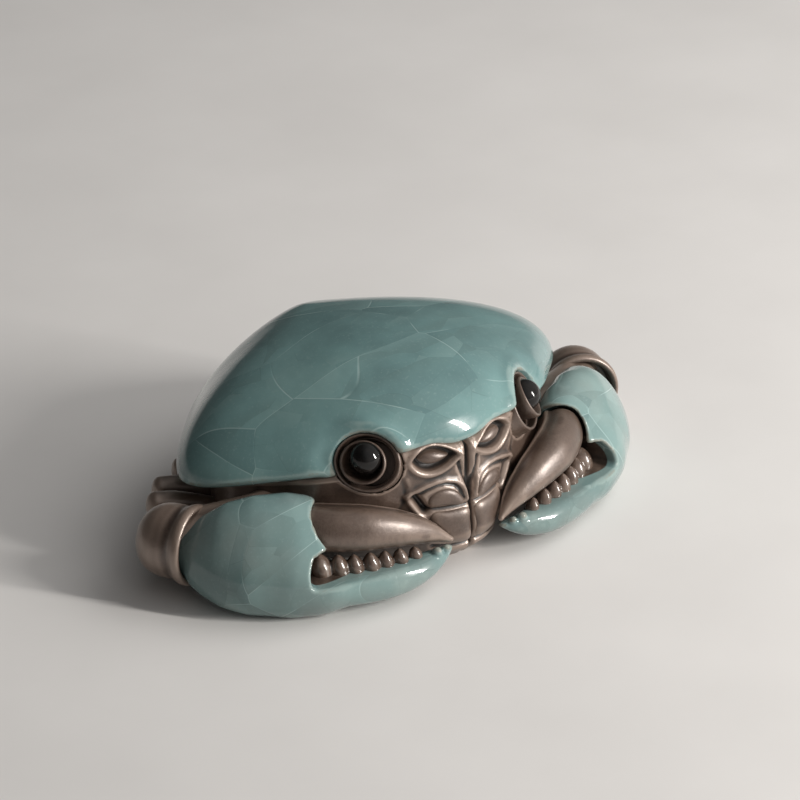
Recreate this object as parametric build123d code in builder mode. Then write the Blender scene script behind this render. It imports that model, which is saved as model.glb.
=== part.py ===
"""Stoneware crab figurine, a tea-table ornament about 100 mm wide.

The crab is put together from moulded clay pieces that are luted edge to edge with slip and fired:
a hollow lower body, a domed carapace that overhangs it, two folded claws, eight tucked legs and
two bead eyes. The carapace and the palms of the claws carry a celadon glaze, the rest is bare clay.

Frame: +Z up, the crab faces -Y, and the origin is on the flat foot that it stands on.
The crab's own right is -X. Each right-hand piece is modelled, and its left twin is mirrored.
Sizes are in millimetres. "Behind" is a distance back from the brow, the front of the carapace.
"""

import os
from math import cos, pi, radians, sin, tan

from build123d import *

os.makedirs("parts", exist_ok=True)

# Carapace
brow_y = -26.0
seat_front_height = 22.2
seat_tilt = 15.6
carapace_width = 75.4
carapace_length = 55.0
carapace_rise = 18.9
rim_centre = 32.6
crown_behind = 40.0
rim_roll = 1.5
rim_tuck = 1.3

# Lower body
foot_width = 42.0
foot_front_behind = 2.6
foot_back_behind = 43.0
belly_height = 7.0
belly_width = 62.0
belly_front_behind = -1.7
belly_back_behind = 47.5
shoulder_width = 62.0
shoulder_front_behind = 0.3
shoulder_back_behind = 48.0
snout_width = 10.0
snout_back = 1.2
cheek_width = 26.0
cheek_back = 7.0
hollow_width = 46.0
hollow_length = 22.0
hollow_behind = 28.0
floor_thickness = 4.0
roof_thickness = 7.0
vent_diameter = 4.5
vent_y = 12.0

# Eyes
eye_spacing = 33.4
eye_behind = 5.5
eye_above_brow = 0.2
eye_outward = 61.0
eye_upward = 30.0
socket_diameter = 10.8
socket_wall = 0.8
socket_depth = 4.6
socket_sink = 1.6
stalk_diameter = 7.5
stalk_wall = 0.7
stalk_length = 4.4
eye_bead_diameter = 5.6
eye_bead_lift = 0.9
eye_bead_stand = 0.2

# Face
groove_width = 1.1
groove_depth = 1.2
pit_length = 7.4
pit_height = 3.5
pit_depth = 1.1
pit_spacing = 11.4
pit_set_back = 0.9
pit_top_gap = 0.4
pit_slope = 11.0
pit_turn = 19.0
bead_gap = 0.55
bead_height = 0.9
bead_draft = 35.0
mouth_relief = 1.0
pad_relief = 1.6
mouth_width = 9.0
mouth_taper = 1.6
mouth_top = 16.6
mouth_split = 11.4
mouth_bottom = 2.8
pad_inner_rise = 1.4
pad_outer_rise = 2.4
plate_droop = 0.6

# Claws
claw_lean = 24.0
wrist_overhang = 4.9
wrist_behind = 23.4
wrist_height = 8.6
wrist_diameter = 13.2
cuff_length = 3.4
cuff_rim = 1.3
cuff_recess = 0.9
palm_reach = 16.0
palm_advance = 16.6
palm_centre_height = 9.6
palm_neck_height = 11.5
palm_stations = 9
palm_root_height = 15.7
palm_swell_height = 5.4
palm_neck_thickness = 8.8
palm_root_thickness = 8.9
palm_swell_thickness = 2.8
heel_swell = 1.0
claw_tip_spacing = 10.7
claw_tip_ahead = 2.3
finger_root_height = 7.8
finger_root_thickness = 8.6
finger_root_lift = 2.85
finger_tip = 1.0
finger_tip_height = 7.4
jaw_root_height = 8.0
jaw_root_thickness = 9.0
jaw_root_drop = 4.0
jaw_low_height = 3.7
jaw_tip_height = 6.0
gape_set_back = 2.4
gape_corner_rise = 3.9
gape_roof = 10.5
ledge_height = 4.9
ledge_climb = 2.0
tooth_count = 7
tooth_width = 2.3
tooth_height = 3.5
molar_width = 3.0
molar_height = 3.9
tooth_offset = -1.2
tooth_seat = 0.5
tooth_draft = 14.0
arm_height = 10.0
arm_thickness = 7.0
arm_gap = 1.0

# Legs
leg_height = 5.0
leg_width = 3.6
leg_tip = 1.0
foot_clearance = 0.4
shin_run = 9.0
knee_drop = 3.4
hip_drop = 15.8
knuckle = 2.2
paddle_height = 6.0
paddle_drop = 3.6


def at(x, behind, z):
    """A point x from the midline, so far behind the brow, z above the table."""
    return Vector(x, brow_y + behind, z)


def seat_height(behind):
    """The height of the seat's slope, so far behind the brow."""
    return seat_front_height - behind * tan(radians(seat_tilt))


def write(piece, name):
    """Labels a finished piece and writes its STEP file."""
    piece.part.label = name
    export_step(piece.part, f"parts/{name}.step")


def write_pair(right, name):
    """Writes a right-hand piece and its mirrored left twin."""
    write(right, f"right_{name}")
    with BuildPart() as left:
        mirror(right.part, about=Plane.YZ)
    write(left, f"left_{name}")


def half_outline(points):
    """A closed outline from its right half: a smooth curve from the front midline to the back one."""
    with BuildLine() as outline:
        Spline(*points, tangents=((1, 0), (-1, 0)))
        mirror(about=Plane.YZ)
    make_face(outline.edges())


# Seat: the sloping plane where the carapace is luted on to the lower body
seat = Plane(
    origin=at(0, 0, seat_front_height),
    x_dir=(1, 0, 0),
    z_dir=(0, sin(radians(seat_tilt)), cos(radians(seat_tilt))),
)

# The carapace outline as shares of half the width and of the length, front to back
CARAPACE_OUTLINE = (
    (0.0, 0.0),
    (0.25, 0.02),
    (0.46, 0.08),
    (0.80, 0.28),
    (1.0, 0.48),
    (0.80, 0.73),
    (0.60, 0.87),
    (0.34, 0.955),
    (0.0, 1.0),
)
# Angles up the dome at which its outline is drawn, from the rim to near the crown
DOME_ANGLES = (0, 8, 16, 24, 32, 40, 48, 56, 64, 72, 79, 85)
DOME_FULLNESS = 1.08
DOME_NARROWING = 1.29


with BuildSketch() as rim:
    half_outline([(x * carapace_width / 2, y * carapace_length) for x, y in CARAPACE_OUTLINE])


def carapace_section(share, centre):
    """The carapace outline shrunk by share about a centre on the midline, and rather more in width."""
    shrunk = scale(rim.sketch, by=(share**DOME_NARROWING, share, 1), mode=Mode.PRIVATE)
    with Locations((0, centre * (1 - share))):
        add(shrunk)


# Hollow: the cast pieces are hollow inside, with one rounded cavity across both
hollow_top = seat_height(hollow_behind) + carapace_rise - roof_thickness
with BuildPart() as hollow:
    for angle in (-75, -45, 0, 45, 75):
        share = cos(radians(angle))
        climb = 0.5 + 0.5 * sin(radians(angle)) / sin(radians(75))
        with BuildSketch(Plane.XY.offset(floor_thickness + (hollow_top - floor_thickness) * climb)):
            with Locations((0, brow_y + hollow_behind)):
                Ellipse(hollow_width / 2 * share, hollow_length / 2 * share)
    loft(ruled=True)

# Eye line: the direction that the right eye looks in, outward, forward and up
level = cos(radians(eye_upward))
eye_axis = Vector(
    -sin(radians(eye_outward)) * level,
    -cos(radians(eye_outward)) * level,
    sin(radians(eye_upward)),
)
eye_centre = at(-eye_spacing / 2, eye_behind, seat_front_height + eye_above_brow)
eye_plane = Plane(origin=eye_centre - eye_axis * socket_depth, x_dir=(0, 0, 1), z_dir=eye_axis)

# Eye pockets: round holes that the sockets are set into
with BuildPart() as eye_pockets:
    with BuildSketch(eye_plane):
        Circle(socket_diameter / 2)
    extrude(amount=4 * socket_depth)
    mirror(about=Plane.YZ)

# Carapace
with BuildPart() as carapace:
    with BuildSketch(seat):
        carapace_section(1 - 2 * rim_tuck / carapace_width, rim_centre)
    for angle in DOME_ANGLES:
        climb = sin(radians(angle))
        with BuildSketch(seat.offset(rim_roll + (carapace_rise - rim_roll) * climb)):
            centre = rim_centre + (crown_behind - rim_centre) * climb
            carapace_section(cos(radians(angle)) ** DOME_FULLNESS, centre)
    crown = seat.offset(carapace_rise).from_local_coords((0, crown_behind, 0))
    loft(sections=[*carapace.pending_faces, Vertex(*crown)], ruled=True)
    add(hollow.part, mode=Mode.SUBTRACT)
    add(eye_pockets.part, mode=Mode.SUBTRACT)
write(carapace, "carapace")


def wall_size(z, foot, belly, shoulder):
    """A size of the lower body at height z: swelling from foot to belly, then straight to the shoulder."""
    if z < belly_height:
        return foot + (belly - foot) * sin(pi / 2 * z / belly_height)
    return belly + (shoulder - belly) * (z - belly_height) / (seat_front_height - belly_height)


def body_section(z, grow):
    """One level of the lower body: snout, cheeks and flanks, drawn round to the back."""
    width = wall_size(z, foot_width, belly_width, shoulder_width) + 2 * grow
    front = brow_y + wall_size(z, foot_front_behind, belly_front_behind, shoulder_front_behind) - grow
    back = brow_y + wall_size(z, foot_back_behind, belly_back_behind, shoulder_back_behind) + grow
    breadth = wall_size(z, 0.9, 1.0, 1.5)
    half_outline(
        [
            (0, front),
            (snout_width / 2 * breadth, front + snout_back),
            (cheek_width / 2 * breadth, front + cheek_back / breadth**0.5),
            (width * 0.43, front + (back - front) * 0.31),
            (width / 2, front + (back - front) * 0.52),
            (width * 0.40, front + (back - front) * 0.80),
            (width * 0.22, front + (back - front) * 0.96),
            (0, back),
        ]
    )


def body_block(grow):
    """The lower body's outer form below the seat, swollen by grow all round."""
    top = seat_front_height + rim_roll
    levels = [belly_height * share for share in (0, 0.25, 0.55, 1)]
    levels += [belly_height + (top - belly_height) * share for share in (0.5, 1)]
    with BuildPart() as block:
        for z in levels:
            with BuildSketch(Plane.XY.offset(z)):
                body_section(z, grow)
        loft(ruled=True)
        split(bisect_by=seat, keep=Keep.BOTTOM)
    return block.part


body_form = body_block(0)

# Antennule pits: two almond hollows under the brow, each with an almond bead inside
pit_plane = Plane(
    origin=at(
        -pit_spacing / 2,
        shoulder_front_behind + pit_set_back,
        seat_front_height - pit_top_gap - pit_height / 2,
    ),
    x_dir=(cos(radians(pit_turn)), -sin(radians(pit_turn)), 0),
    z_dir=(-sin(radians(pit_turn)), -cos(radians(pit_turn)), 0),
).rotated((0, 0, pit_slope))


def almond(length, height):
    """A pointed oval: two arcs that meet at the ends."""
    with BuildLine() as outline:
        ThreePointArc((-length / 2, 0), (0, height / 2), (length / 2, 0))
        ThreePointArc((length / 2, 0), (0, -height / 2), (-length / 2, 0))
    make_face(outline.edges())


with BuildPart() as pits:
    with BuildSketch(pit_plane.offset(-pit_depth)):
        almond(pit_length, pit_height)
    extrude(amount=3 * pit_depth)
    mirror(about=Plane.YZ)

with BuildPart() as antennule:
    with BuildSketch(pit_plane.offset(-pit_depth)):
        almond(pit_length - 2 * bead_gap, pit_height - 2 * bead_gap)
    extrude(amount=bead_height, taper=bead_draft)
write_pair(antennule, "antennule")

# Lower body
with BuildPart() as lower_body:
    add(body_form)
    add(hollow.part, mode=Mode.SUBTRACT)
    add(eye_pockets.part, mode=Mode.SUBTRACT)
    add(pits.part, mode=Mode.SUBTRACT)
    with Locations((0, vent_y, 0)):
        Cylinder(vent_diameter / 2, 3 * floor_thickness, mode=Mode.SUBTRACT)
    with Locations(at(0, belly_front_behind, mouth_bottom)):
        Box(
            groove_width,
            2 * groove_depth,
            2 * seat_front_height,
            align=(Align.CENTER, Align.CENTER, Align.MIN),
            mode=Mode.SUBTRACT,
        )
write(lower_body, "lower_body")


def mouth_piece(relief, points):
    """A raised plate on the right of the face: its front outline, standing up by relief."""
    skin = body_block(relief)
    with BuildPart() as piece:
        with BuildSketch(Plane.XZ.offset(-brow_y - cheek_width / 2)):
            with BuildLine() as outline:
                Spline(*points[1:])
                Polyline(points[-1], points[0], points[1])
            make_face(outline.edges())
        extrude(amount=cheek_width)
        add(skin, mode=Mode.INTERSECT)
        add(body_form, mode=Mode.SUBTRACT)
    return piece


# Mouth: a swollen pad under each arch of the lip, and a smooth plate below it
pad = mouth_piece(
    pad_relief,
    [
        (-groove_width, mouth_split),
        (-groove_width, mouth_split + pad_inner_rise),
        (-mouth_width / 2, mouth_top),
        (-mouth_width, mouth_split + pad_outer_rise),
        (-mouth_width + mouth_taper, mouth_split),
    ],
)
write_pair(pad, "mouth_pad")

plate = mouth_piece(
    mouth_relief,
    [
        (-groove_width, mouth_bottom),
        (-groove_width, mouth_split),
        (-mouth_width / 2, mouth_split - plate_droop / 3),
        (-mouth_width + mouth_taper, mouth_split - plate_droop),
        (-mouth_width / 2, mouth_bottom),
    ],
)
write_pair(plate, "mouth_plate")

# Eyes: each a round socket let into brow and cheek, a cup-shaped stalk in it, and a bead in the cup
with BuildPart() as socket:
    with BuildSketch(eye_plane):
        Circle(socket_diameter / 2)
    extrude(amount=socket_depth - socket_sink)
    with BuildSketch(eye_plane.offset(socket_wall)):
        Circle(socket_diameter / 2 - socket_wall)
    extrude(amount=socket_depth, mode=Mode.SUBTRACT)
write_pair(socket, "eye_socket")

stalk_top = socket_wall + stalk_length
with BuildPart() as eye:
    with Locations(eye_plane.from_local_coords((eye_bead_lift, 0, stalk_top + eye_bead_stand))):
        Sphere(eye_bead_diameter / 2)
write_pair(eye, "eye")

with BuildPart() as stalk:
    with BuildSketch(eye_plane.offset(socket_wall)):
        Circle(stalk_diameter / 2)
    extrude(amount=stalk_length)
    with Locations(eye_plane.from_local_coords((0, 0, stalk_top))):
        Sphere(stalk_diameter / 2 - stalk_wall, mode=Mode.SUBTRACT)
    add(eye.part, mode=Mode.SUBTRACT)
write_pair(stalk, "eye_stalk")


def claw_plane(axis, share):
    """A cross-section plane of the right claw, with its height leaning back towards the body."""
    along = axis.tangent_at(share)
    inward = Vector(0, 0, 1).cross(along).normalized()
    upright = Vector(0, 0, 1) * cos(radians(claw_lean)) + inward * sin(radians(claw_lean))
    return Plane(origin=axis.position_at(share), x_dir=upright.cross(along), z_dir=along)


def claw_form(axis, thickness_at, height_at, stations=9):
    """A limb drawn through leaning ovals whose thickness and height change along its axis."""
    with BuildPart() as limb:
        for i in range(stations):
            share = i / (stations - 1)
            with BuildSketch(claw_plane(axis, share)):
                Ellipse(thickness_at(share) / 2, height_at(share) / 2)
        loft(ruled=True)
    return limb.part


def palm_size(neck, root, swell):
    """A palm's size along its axis: an even run from neck to root with a swell between them."""
    return lambda share: neck + (root - neck) * share + swell * max(0, sin(pi * share)) ** 0.6


def finger_size(root, fall):
    """A finger's size along its axis: full at the root, rounding off to the tip."""
    return lambda share: finger_tip + (root - finger_tip) * (1 - share**fall)


def palm_section(across, tall, heel):
    """One section of the palm: an oval that swells out at the heel, low on the side away from the body."""
    with BuildLine() as outline:
        Spline(
            (0, tall),
            (across * 0.86, tall * 0.5),
            (across, 0),
            (across * 0.8, -tall * 0.58),
            (0, -tall),
            (-across * 0.82 - heel, -tall * 0.6),
            (-across - heel * 0.5, -tall * 0.1),
            (-across * 0.86, tall * 0.5),
            periodic=True,
        )
    make_face(outline.edges())


def jaw_height(share):
    """The fixed finger's height along its axis, thinning early to leave room for the teeth."""
    return finger_tip + (jaw_root_height - finger_tip) * (1 - share) ** 0.65


# Claws: palm with its fixed finger, moving finger above it, teeth between
wrist_x = -carapace_width / 2 - wrist_overhang
root_x = wrist_x + palm_reach
root_behind = wrist_behind - palm_advance
tip_x = -claw_tip_spacing / 2
palm_axis = Spline(
    at(wrist_x + palm_reach * 0.11, wrist_behind - palm_advance * 0.24, palm_centre_height - 0.7),
    at(wrist_x + palm_reach * 0.34, wrist_behind - palm_advance * 0.59, palm_centre_height - 0.2),
    at(wrist_x + palm_reach * 0.64, wrist_behind - palm_advance * 0.82, palm_centre_height),
    at(root_x, root_behind, palm_centre_height),
)
jaw_root = at(root_x - 3.9, root_behind - 1.2, palm_centre_height - jaw_root_drop)
jaw_axis = Spline(
    jaw_root,
    at(root_x + (tip_x - root_x) * 0.36, -claw_tip_ahead + 0.8, jaw_low_height),
    at(root_x + (tip_x - root_x) * 0.78, -claw_tip_ahead - 0.5, jaw_low_height + 0.9),
    at(tip_x, -claw_tip_ahead, jaw_tip_height),
)
finger_root = at(root_x + 1.1, root_behind + 0.2, palm_centre_height + finger_root_lift)
finger_axis = Spline(
    finger_root,
    at(root_x + (tip_x - root_x) * 0.53, -claw_tip_ahead + 2.9, finger_tip_height + 4.25),
    at(root_x + (tip_x - root_x) * 0.85, -claw_tip_ahead + 1.1, finger_tip_height + 1.75),
    at(tip_x, -claw_tip_ahead, finger_tip_height),
)
finger_form = claw_form(
    finger_axis, finger_size(finger_root_thickness, 2.4), finger_size(finger_root_height, 2.4)
)
jaw_form = claw_form(jaw_axis, finger_size(jaw_root_thickness, 3.0), jaw_height)
palm_thickness = palm_size(palm_neck_thickness, palm_root_thickness, palm_swell_thickness)
palm_height = palm_size(palm_neck_height, palm_root_height, palm_swell_height)
with BuildPart() as palm_form:
    for i in range(palm_stations):
        share = i / (palm_stations - 1)
        with BuildSketch(claw_plane(palm_axis, share)):
            palm_section(palm_thickness(share) / 2, palm_height(share) / 2, heel_swell * sin(pi * share))
    loft(ruled=True)

# Gape: the mouth of the claw, cut back into the palm and floored by the ledge that the teeth stand on
gape_way = (at(tip_x, -claw_tip_ahead, 0) - at(root_x, root_behind, 0)).normalized()
gape_plane = Plane(origin=at(root_x, root_behind, 0), x_dir=gape_way, z_dir=gape_way.cross(Vector(0, 0, 1)))
gape_length = (at(tip_x, -claw_tip_ahead, 0) - at(root_x, root_behind, 0)).length


def ledge_at(point):
    """The height of the ledge below a point, climbing slowly and then faster to the tip."""
    along = max(0, gape_plane.to_local_coords(point).X) / gape_length
    return ledge_height + ledge_climb * along**2.2


with BuildPart() as gape:
    with BuildSketch(gape_plane):
        with BuildLine() as outline:
            ledge_shares = (0, 0.25, 0.5, 0.75, 1, 1.15)
            ledge_line = [(s * gape_length, ledge_height + ledge_climb * s**2.2) for s in ledge_shares]
            Polyline(
                (-gape_set_back, ledge_height),
                *ledge_line,
                (1.15 * gape_length, gape_roof),
                (0, gape_roof),
                (-gape_set_back, ledge_height + gape_corner_rise),
                close=True,
            )
        make_face(outline.edges())
    extrude(amount=palm_root_height, both=True)

with BuildPart() as palm:
    add(palm_form.part)
    add(jaw_form)
    add(gape.part, mode=Mode.SUBTRACT)
    add(body_form, mode=Mode.SUBTRACT)
    add(finger_form, mode=Mode.SUBTRACT)
write_pair(palm, "palm")

with BuildPart() as finger:
    add(finger_form)
    add(body_form, mode=Mode.SUBTRACT)
    add(plate.part, mode=Mode.SUBTRACT)
write_pair(finger, "moving_finger")

with BuildPart() as teeth:
    for i in range(tooth_count):
        share = 0.13 + 0.1 * i
        shrink = 1 - 0.3 * i / (tooth_count - 1)
        width = molar_width if i == 0 else tooth_width * shrink
        height = molar_height if i == 0 else tooth_height * shrink
        along = jaw_axis.tangent_at(share)
        outward = along.cross(Vector(0, 0, 1)).normalized()
        root = jaw_axis.position_at(share) + outward * tooth_offset
        base = Vector(root.X, root.Y, ledge_at(root) - tooth_seat)
        with BuildSketch(Plane(base, x_dir=outward.cross(Vector(0, 0, -1)), z_dir=(0, 0, 1))):
            Rectangle(width, width)
        extrude(amount=height + tooth_seat, taper=tooth_draft)
    add(palm.part, mode=Mode.SUBTRACT)
    add(finger_form, mode=Mode.SUBTRACT)
write_pair(teeth, "claw_teeth")

# Wrists: a round cuff behind each palm with a rolled rim round the palm's neck
wrist_centre = at(wrist_x, wrist_behind, wrist_height)
wrist_plane = Plane(origin=wrist_centre, z_dir=(palm_axis.position_at(0.1) - wrist_centre).normalized())
with BuildPart() as wrist:
    for angle in (-80, -60, -40, -20, 0):
        with BuildSketch(wrist_plane.offset(wrist_diameter / 2 * sin(radians(angle)))):
            Circle(wrist_diameter / 2 * cos(radians(angle)))
    with BuildSketch(wrist_plane.offset(cuff_length)):
        Circle(wrist_diameter / 2)
    loft(ruled=True)
    with BuildSketch(wrist_plane.offset(cuff_length - cuff_recess)):
        Circle(wrist_diameter / 2 - cuff_rim)
    extrude(amount=cuff_recess + wrist_diameter, mode=Mode.SUBTRACT)
    add(palm.part, mode=Mode.SUBTRACT)
    add(body_form, mode=Mode.SUBTRACT)
write_pair(wrist, "wrist")

# Arms: short limbs from under the carapace out to the wrists
with BuildPart() as arm:
    for across, behind in ((0.72, 19.0), (0.93, 20.0), (1.14, 23.0)):
        top = seat_height(behind) - arm_gap
        middle = at(-carapace_width / 2 * across, behind, top - arm_height / 2)
        with BuildSketch(Plane(middle, z_dir=(-1, 0, 0))):
            Ellipse(arm_thickness / 2, arm_height / 2)
    loft(ruled=True)
    add(body_form, mode=Mode.SUBTRACT)
    add(wrist.part, mode=Mode.SUBTRACT)
    add(palm.part, mode=Mode.SUBTRACT)
write_pair(arm, "arm")

# Legs, front to back: the knee as shares of the carapace, the hip as shares of the belly, and the
# way that the shin is folded back
LEGS = (
    ((1.045, 0.600), (0.935, 0.615), 48),
    ((0.912, 0.702), (0.855, 0.728), 38),
    ((0.711, 0.793), (0.658, 0.834), 25),
    ((0.488, 0.913), (0.484, 0.968), 2),
)


def limb_section(point, along, height, width):
    """A pinched oval with eight sides, upright, at a point on a limb."""
    with BuildSketch(Plane(origin=point, x_dir=along.cross(Vector(0, 0, 1)), z_dir=along)) as section:
        turns = [radians(22.5 + 45 * side) for side in range(8)]
        Polygon(*[(width / 2 * cos(turn), height / 2 * sin(turn)) for turn in turns])
    return section.sketch


for number, (knee_share, hip_share, fold) in enumerate(LEGS, start=1):
    last = number == len(LEGS)
    height = paddle_height if last else leg_height
    drop = paddle_drop if last else knee_drop
    knee_behind = carapace_length * knee_share[1]
    knee = at(-carapace_width / 2 * knee_share[0], knee_behind, seat_height(knee_behind) - drop)
    hip_height = seat_front_height - hip_drop
    hip = at(-belly_width / 2 * hip_share[0], belly_back_behind * hip_share[1], hip_height)
    foot = Vector(
        knee.X + shin_run * cos(radians(fold)),
        knee.Y + shin_run * sin(radians(fold)),
        foot_clearance + leg_tip / 2,
    )
    thigh = (knee - hip).normalized()
    shin = (foot - knee).normalized()
    with BuildPart() as leg:
        loft(
            [
                limb_section(hip, thigh, height * 0.8, leg_width),
                limb_section(knee, thigh, height, leg_width * 1.1),
                limb_section(knee + thigh * knuckle * 0.7, thigh, height * 0.8, leg_width * 0.9),
                limb_section(knee + thigh * knuckle, thigh, height * 0.4, leg_width * 0.5),
            ],
            ruled=True,
        )
        loft(
            [
                limb_section(knee, shin, height * 0.8, leg_width * 0.95),
                limb_section(knee + (foot - knee) * 0.5, shin, height * 0.7, leg_width * 0.75),
                limb_section(foot, shin, leg_tip, leg_tip),
            ],
            ruled=True,
        )
        add(body_form, mode=Mode.SUBTRACT)
    write_pair(leg, f"leg_{number}")
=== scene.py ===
import math

import bpy
import numpy as np
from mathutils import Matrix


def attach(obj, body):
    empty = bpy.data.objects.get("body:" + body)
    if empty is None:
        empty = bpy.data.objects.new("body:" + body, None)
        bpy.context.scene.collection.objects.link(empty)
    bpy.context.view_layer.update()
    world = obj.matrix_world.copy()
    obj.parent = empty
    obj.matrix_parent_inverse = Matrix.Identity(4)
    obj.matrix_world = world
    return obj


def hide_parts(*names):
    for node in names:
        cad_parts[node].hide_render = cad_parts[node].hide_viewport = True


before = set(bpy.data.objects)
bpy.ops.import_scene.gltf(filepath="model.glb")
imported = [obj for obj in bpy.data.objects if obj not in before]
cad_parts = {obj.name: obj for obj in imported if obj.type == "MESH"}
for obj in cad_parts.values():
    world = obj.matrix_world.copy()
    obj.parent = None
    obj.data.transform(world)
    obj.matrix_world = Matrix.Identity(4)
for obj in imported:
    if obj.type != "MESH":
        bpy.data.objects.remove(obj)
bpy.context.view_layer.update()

import openvdb
from mathutils import Vector

# Sizes below are in millimetres in the crab's own frame: +Z up, the crab faces -Y, its right is -X.

# ---------------------------------------------------------------------------------------------
# Lower body. A bowl of dark stoneware, pressed in a mould, with the face carved in while the clay
# was leather hard. It is left bare, burnished on its ridges, and stands on a flat wiped foot with
# one firing vent.
# ---------------------------------------------------------------------------------------------
BROW = -26.0
SEAT_FRONT = 22.2
SEAT_TILT = math.radians(15.6)
BELLY = 7.0
MILLIMETRE = 0.001
MIRROR = np.array([-1, 1, 1])


def seat_height(y):
    """The height of the sloping seat that the carapace is luted on to."""
    return SEAT_FRONT - (y - BROW) * math.tan(SEAT_TILT)


def wall_size(z, foot, belly, shoulder):
    """A size of the bowl at height z: swelling from foot to belly, then straight to the shoulder."""
    swell = foot + (belly - foot) * np.sin(np.pi / 2 * np.clip(z / BELLY, 0, 1))
    return swell + (shoulder - belly) * np.clip((z - BELLY) / (SEAT_FRONT - BELLY), 0, 2)


def wall_knots(z):
    """The bowl's outline at heights z: snout, cheeks and flanks, right half and then left half."""
    z = np.asarray(z, float)
    width = wall_size(z, 42.0, 62.0, 62.0)
    front = BROW + wall_size(z, 2.6, -1.7, 0.3)
    back = BROW + wall_size(z, 43.0, 47.5, 48.0)
    breadth = wall_size(z, 0.9, 1.0, 1.5)
    length = back - front
    half = [
        (0 * z, front),
        (5.0 * breadth, front + 1.2),
        (13.0 * breadth, front + 7.0 / np.sqrt(breadth)),
        (width * 0.43, front + length * 0.31),
        (width / 2, front + length * 0.52),
        (width * 0.40, front + length * 0.80),
        (width * 0.22, front + length * 0.96),
        (0 * z, back),
    ]
    other = [(-x, y) for x, y in half[-2:0:-1]]
    return np.stack([np.stack(knot, -1) for knot in half + other], -2)


def closed_curve(knots, period, places):
    """Weights that carry a smooth closed curve through its knots to the places between them."""
    n = len(knots)
    gap = np.diff(np.append(knots, period))
    bend = np.zeros((n, n))
    pull = np.zeros((n, n))
    for i in range(n):
        before, after = (i - 1) % n, (i + 1) % n
        bend[i, before] += gap[before]
        bend[i, i] += 2 * (gap[before] + gap[i])
        bend[i, after] += gap[i]
        pull[i, after] += 6 / gap[i]
        pull[i, i] -= 6 / gap[i] + 6 / gap[before]
        pull[i, before] += 6 / gap[before]
    curl = np.linalg.solve(bend, pull)
    start = np.searchsorted(knots, places, side="right") - 1
    end = (start + 1) % n
    b = (places - knots[start]) / gap[start]
    a = 1 - b
    weights = (a**3 - a)[:, None] * curl[start] + (b**3 - b)[:, None] * curl[end]
    weights *= (gap[start] ** 2 / 6)[:, None]
    rows = np.arange(len(places))
    weights[rows, start] += a
    weights[rows, end] += b
    return weights


def corner_normals(points, faces):
    """Each corner's outward normal, from the faces round it."""
    corner = points[faces]
    cross = np.cross(corner[:, 2] - corner[:, 0], corner[:, 3] - corner[:, 1])
    normal = np.zeros_like(points)
    for axis in range(3):
        for turn in range(4):
            normal[:, axis] += np.bincount(faces[:, turn], cross[:, axis], len(points))
    return normal / (np.linalg.norm(normal, axis=1, keepdims=True) + 1e-12)


def hollows(points, faces, rounds):
    """How far each point lies in a hollow (above 0) or on a ridge (below 0), in millimetres."""
    ends = np.concatenate([faces[:, [0, 1]], faces[:, [1, 2]], faces[:, [2, 3]], faces[:, [3, 0]]])
    ends = np.concatenate([ends, ends[:, ::-1]])
    count = np.bincount(ends[:, 0], minlength=len(points)) + 1e-9
    soft = points
    for _ in range(rounds):
        mean = [np.bincount(ends[:, 0], soft[ends[:, 1], axis], len(points)) / count for axis in range(3)]
        soft = 0.4 * soft + 0.6 * np.stack(mean, -1)
    return ((soft - points) * corner_normals(points, faces)).sum(1)


def make_piece(name, points, faces, material, slot, **marks):
    """One finished piece from points in millimetres, with its marks kept for its material."""
    mesh = bpy.data.meshes.new("fired_" + name)
    corners = [list(dict.fromkeys(face)) for face in faces.tolist()]
    mesh.from_pydata((points * MILLIMETRE).tolist(), [], corners)
    mesh.shade_smooth()
    for mark, values in marks.items():
        layer = mesh.attributes.new(mark, "FLOAT", "POINT")
        layer.data.foreach_set("value", np.asarray(values, np.float32))
    mesh.materials.append(material)
    piece = bpy.data.objects.new("fired_" + name, mesh)
    bpy.context.scene.collection.objects.link(piece)
    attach(piece, "root")
    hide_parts(name)


def new_material(name):
    """A material that holds only its output, and a short way to add and join its nodes."""
    material = bpy.data.materials.new(name)
    material.use_nodes = True
    tree = material.node_tree
    tree.nodes.clear()

    def add(kind, sockets=None, **options):
        node = tree.nodes.new(kind)
        for option, value in options.items():
            setattr(node, option, value)
        for socket, value in (sockets or {}).items():
            if isinstance(value, bpy.types.NodeSocket):
                tree.links.new(value, node.inputs[socket])
            else:
                node.inputs[socket].default_value = value
        return node

    return material, add


def ramp(add, value, *stops):
    """A colour ramp with (place, colour) stops."""
    node = add("ShaderNodeValToRGB", {"Fac": value})
    bar = node.color_ramp.elements
    while len(bar) < len(stops):
        bar.new(0.5)
    for stop, (place, colour) in zip(bar, stops):
        stop.position = place
        stop.color = (*colour, 1.0)
    return node.outputs["Color"]


def fade(add, value, low, high, start=0.0, end=1.0):
    """A value carried from low..high to start..end, and held at both ends."""
    sockets = {"Value": value, "From Min": low, "From Max": high, "To Min": start, "To Max": end}
    return add("ShaderNodeMapRange", sockets, interpolation_type="SMOOTHSTEP").outputs[0]


def mixed(add, share, first, second, way="MIX"):
    """Two colours laid over each other by a share."""
    node = add("ShaderNodeMix", {0: share, 6: first, 7: second}, data_type="RGBA", blend_type=way)
    return node.outputs[2]


def noise(add, place, scale, detail, roughness=0.5):
    """A cloudy value over a piece, from 0 to 1."""
    sockets = {"Vector": place, "Scale": scale, "Detail": detail, "Roughness": roughness}
    return add("ShaderNodeTexNoise", sockets).outputs["Fac"]


def worked(add, way, first, second):
    """Two values added or multiplied."""
    return add("ShaderNodeMath", {0: first, 1: second}, operation=way).outputs[0]


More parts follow.
